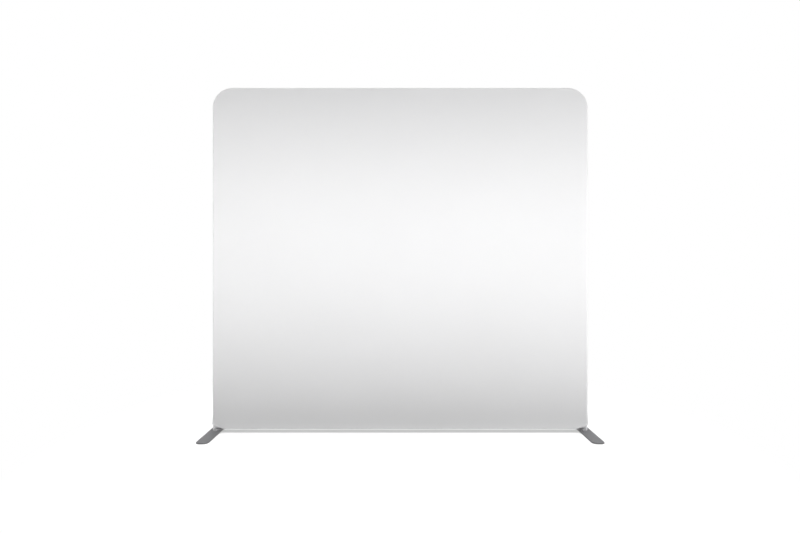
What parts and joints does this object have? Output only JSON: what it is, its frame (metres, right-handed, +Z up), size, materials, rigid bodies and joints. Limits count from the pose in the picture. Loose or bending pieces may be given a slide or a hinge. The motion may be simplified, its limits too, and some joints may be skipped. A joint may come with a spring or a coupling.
{
  "type": "tension fabric wall",
  "caption": "Free-standing straight fabric wall: stretch cover over a hidden round-tube frame with rounded top corners, on flat swivel foot plates; used as a backdrop or divider.",
  "frame": {"origin": "on the floor, under the middle of the wall", "axes": "+X along the wall to the right as seen from the front, +Y to the back of the wall, +Z up"},
  "size_m": [2.5458, 0.45, 2.29],
  "materials": {
    "white_fabric": "matte",
    "zipper_tape": "matte",
    "zipper_teeth": "satin",
    "zipper_metal": "satin",
    "tube_aluminium": "satin",
    "cast_aluminium": "satin",
    "rivet_aluminium": "satin",
    "button_steel": "satin",
    "spring_steel": "satin",
    "pin_steel": "satin",
    "foot_paint": "matte"
  },
  "bodies": {
    "wall": {"left_upright_lower": "tube_aluminium", "left_curved_pole": "tube_aluminium", "left_top_tube": "tube_aluminium", "left_bottom_tube": "tube_aluminium", "right_upright_lower": "tube_aluminium", "right_curved_pole": "tube_aluminium", "right_top_tube": "tube_aluminium", "right_bottom_tube": "tube_aluminium", "centre_post_lower": "tube_aluminium", "centre_post_upper": "tube_aluminium", "top_tee": "tube_aluminium", "bottom_tee": "tube_aluminium", "left_corner_connector": "cast_aluminium", "right_corner_connector": "cast_aluminium", "left_upright_connector": "tube_aluminium", "left_bend_connector": "tube_aluminium", "left_top_tee_connector": "tube_aluminium", "left_bottom_tee_connector": "tube_aluminium", "right_upright_connector": "tube_aluminium", "right_bend_connector": "tube_aluminium", "right_top_tee_connector": "tube_aluminium", "right_bottom_tee_connector": "tube_aluminium", "centre_post_connector": "tube_aluminium", "connector_rivets": "rivet_aluminium", "button_springs": "spring_steel", "cover_front_panel": "white_fabric", "cover_back_panel": "white_fabric", "zipper_tape_upper": "zipper_tape", "zipper_tape_lower": "zipper_tape", "zipper_teeth_upper": "zipper_teeth", "zipper_teeth_lower": "zipper_teeth", "zipper_stops": "zipper_metal"},
    "left_corner_up_button": {"left_corner_up_button": "button_steel"},
    "left_corner_in_button": {"left_corner_in_button": "button_steel"},
    "left_upright_button": {"left_upright_button": "button_steel"},
    "left_bend_button": {"left_bend_button": "button_steel"},
    "left_top_tee_button": {"left_top_tee_button": "button_steel"},
    "left_bottom_tee_button": {"left_bottom_tee_button": "button_steel"},
    "right_corner_up_button": {"right_corner_up_button": "button_steel"},
    "right_corner_in_button": {"right_corner_in_button": "button_steel"},
    "right_upright_button": {"right_upright_button": "button_steel"},
    "right_bend_button": {"right_bend_button": "button_steel"},
    "right_top_tee_button": {"right_top_tee_button": "button_steel"},
    "right_bottom_tee_button": {"right_bottom_tee_button": "button_steel"},
    "centre_post_button": {"centre_post_button": "button_steel"},
    "zipper_slider": {"zipper_slider": "zipper_metal"},
    "zipper_pull": {"zipper_pull": "zipper_metal"},
    "left_foot": {"left_foot_plate": "foot_paint", "left_foot_pin": "pin_steel", "left_foot_screw": "pin_steel"},
    "right_foot": {"right_foot_plate": "foot_paint", "right_foot_pin": "pin_steel", "right_foot_screw": "pin_steel"}
  },
  "joints": [
    {"name": "left_foot_swivel", "type": "hinge", "parent": "wall", "child": "left_foot", "pos_m": [-1.2329, 0, 0], "axis": [0, 0, 1], "continuous": true},
    {"name": "right_foot_swivel", "type": "hinge", "parent": "wall", "child": "right_foot", "pos_m": [1.2329, 0, 0], "axis": [0, 0, 1], "continuous": true},
    {"name": "left_corner_up_press", "type": "slide", "parent": "wall", "child": "left_corner_up_button", "axis": [-1, 0, 0], "range_m": [0, 0.0039], "stiffness_N_per_m": 1500, "springref_m": -0.003, "deforming": ["button_springs"]},
    {"name": "left_corner_in_press", "type": "slide", "parent": "wall", "child": "left_corner_in_button", "axis": [0, 0, -1], "range_m": [0, 0.0039], "stiffness_N_per_m": 1500, "springref_m": -0.003, "deforming": ["button_springs"]},
    {"name": "left_upright_press", "type": "slide", "parent": "wall", "child": "left_upright_button", "axis": [-1, 0, 0], "range_m": [0, 0.0039], "stiffness_N_per_m": 1500, "springref_m": -0.003, "deforming": ["button_springs"]},
    {"name": "left_bend_press", "type": "slide", "parent": "wall", "child": "left_bend_button", "axis": [0, 0, 1], "range_m": [0, 0.0039], "stiffness_N_per_m": 1500, "springref_m": -0.003, "deforming": ["button_springs"]},
    {"name": "left_top_tee_press", "type": "slide", "parent": "wall", "child": "left_top_tee_button", "axis": [0, 0, 1], "range_m": [0, 0.0039], "stiffness_N_per_m": 1500, "springref_m": -0.003, "deforming": ["button_springs"]},
    {"name": "left_bottom_tee_press", "type": "slide", "parent": "wall", "child": "left_bottom_tee_button", "axis": [0, 0, -1], "range_m": [0, 0.0039], "stiffness_N_per_m": 1500, "springref_m": -0.003, "deforming": ["button_springs"]},
    {"name": "right_corner_up_press", "type": "slide", "parent": "wall", "child": "right_corner_up_button", "axis": [1, 0, 0], "range_m": [0, 0.0039], "stiffness_N_per_m": 1500, "springref_m": -0.003, "deforming": ["button_springs"]},
    {"name": "right_corner_in_press", "type": "slide", "parent": "wall", "child": "right_corner_in_button", "axis": [0, 0, -1], "range_m": [0, 0.0039], "stiffness_N_per_m": 1500, "springref_m": -0.003, "deforming": ["button_springs"]},
    {"name": "right_upright_press", "type": "slide", "parent": "wall", "child": "right_upright_button", "axis": [1, 0, 0], "range_m": [0, 0.0039], "stiffness_N_per_m": 1500, "springref_m": -0.003, "deforming": ["button_springs"]},
    {"name": "right_bend_press", "type": "slide", "parent": "wall", "child": "right_bend_button", "axis": [0, 0, 1], "range_m": [0, 0.0039], "stiffness_N_per_m": 1500, "springref_m": -0.003, "deforming": ["button_springs"]},
    {"name": "right_top_tee_press", "type": "slide", "parent": "wall", "child": "right_top_tee_button", "axis": [0, 0, 1], "range_m": [0, 0.0039], "stiffness_N_per_m": 1500, "springref_m": -0.003, "deforming": ["button_springs"]},
    {"name": "right_bottom_tee_press", "type": "slide", "parent": "wall", "child": "right_bottom_tee_button", "axis": [0, 0, -1], "range_m": [0, 0.0039], "stiffness_N_per_m": 1500, "springref_m": -0.003, "deforming": ["button_springs"]},
    {"name": "centre_post_press", "type": "slide", "parent": "wall", "child": "centre_post_button", "axis": [-1, 0, 0], "range_m": [0, 0.0039], "stiffness_N_per_m": 1500, "springref_m": -0.003, "deforming": ["button_springs"]},
    {"name": "zipper_slide", "type": "slide", "parent": "wall", "child": "zipper_slider", "axis": [1, 0, 0], "range_m": [0, 2.3453]},
    {"name": "zipper_pull_hinge", "type": "hinge", "parent": "zipper_slider", "child": "zipper_pull", "pos_m": [-1.17265, 0.0198, 0.064], "axis": [0, 0, 1], "range_deg": [0, 180]}
  ]
}
